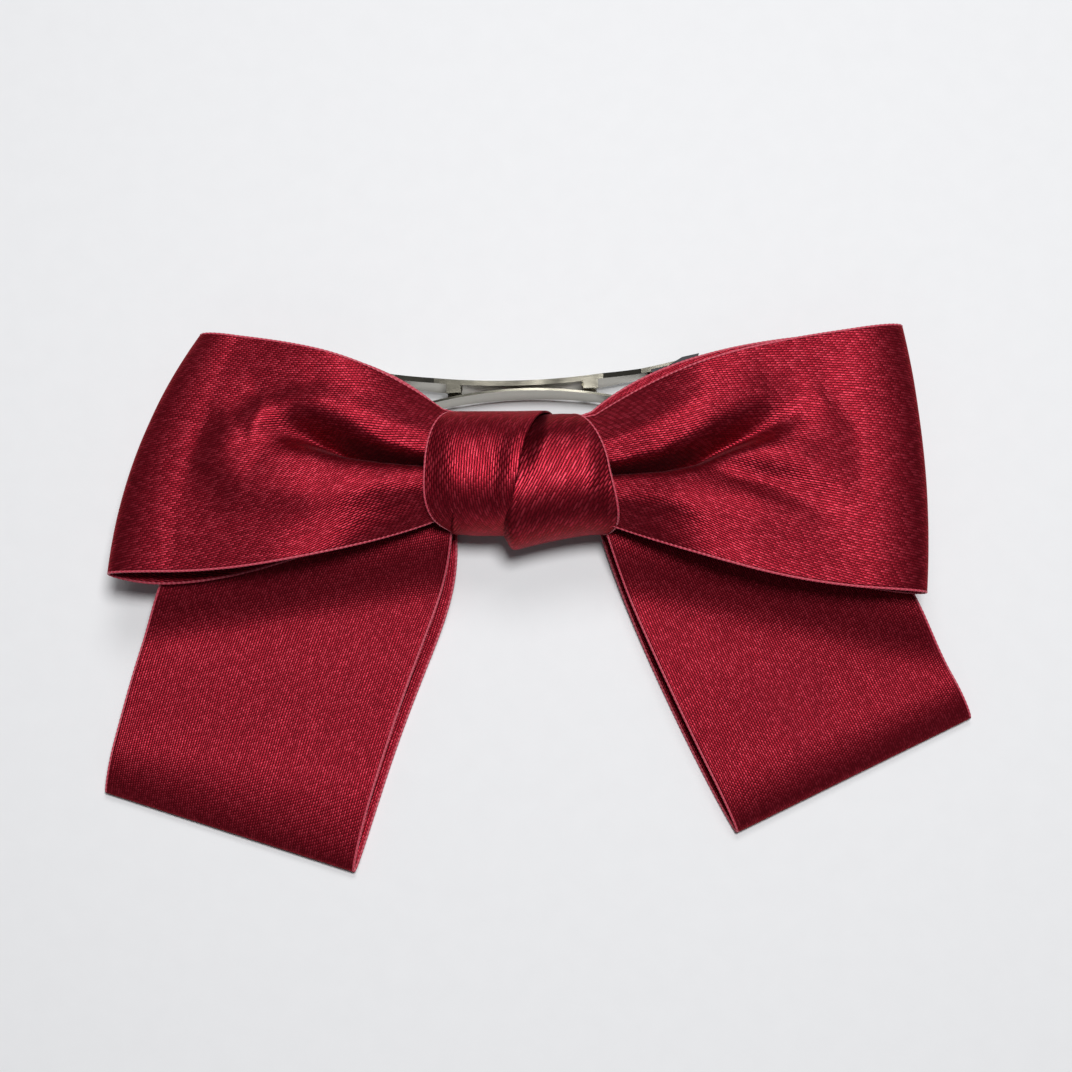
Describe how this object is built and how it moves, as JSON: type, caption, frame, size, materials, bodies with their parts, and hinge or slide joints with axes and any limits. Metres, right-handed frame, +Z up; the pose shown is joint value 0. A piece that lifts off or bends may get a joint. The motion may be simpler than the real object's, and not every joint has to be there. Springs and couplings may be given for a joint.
{
  "type": "hair bow barrette",
  "caption": "Wide satin ribbon bow with two loops, two hanging tails and a tied centre, on a spring barrette that closes over a lock of hair.",
  "frame": {"origin": "on the table, below the middle of the outline", "axes": "+Z up out of the bow's face as it lies on a table, +X from the left loop to the right loop, tails towards -Y"},
  "size_m": [0.1326, 0.0822, 0.0188],
  "materials": {
    "satin_ribbon": "ribbed satin, burgundy",
    "thread": "matte cotton thread",
    "glue": "hot-melt glue",
    "nickel_steel": "nickel plated",
    "spring_steel": "tempered spring steel",
    "black_steel": "blackened steel"
  },
  "bodies": {
    "bow": {"upper_loop_ribbon": "satin_ribbon", "tail_ribbon": "satin_ribbon", "centre_knot_ribbon": "satin_ribbon", "binding_thread": "thread", "glue_pad": "glue", "base_plate": "nickel_steel", "tension_spring": "spring_steel", "spring_rivet_hinge_end": "nickel_steel", "spring_rivet_clasp_end": "nickel_steel", "hinge_pin": "nickel_steel", "clasp_catch": "black_steel", "clasp_rivet": "nickel_steel"},
    "arm": {"locking_arm": "nickel_steel"},
    "wing_lower": {"clasp_wing_lower": "black_steel"},
    "wing_upper": {"clasp_wing_upper": "black_steel"}
  },
  "joints": [
    {"name": "arm_hinge", "type": "hinge", "parent": "bow", "child": "arm", "pos_m": [-0.02779, 0.03444, 0.0046], "axis": [0, 0, 1], "range_deg": [0, 75]},
    {"name": "wing_lower_squeeze", "type": "hinge", "parent": "bow", "child": "wing_lower", "pos_m": [0.01826, 0.0324, 0.0009], "axis": [0.8634, 0.5045, 0], "range_deg": [0, 6], "stiffness_Nm_per_rad": 0.5},
    {"name": "wing_upper_squeeze", "type": "hinge", "parent": "bow", "child": "wing_upper", "pos_m": [0.01826, 0.0324, 0.0083], "axis": [-0.8634, -0.5045, 0], "range_deg": [0, 6], "stiffness_Nm_per_rad": 0.5}
  ]
}
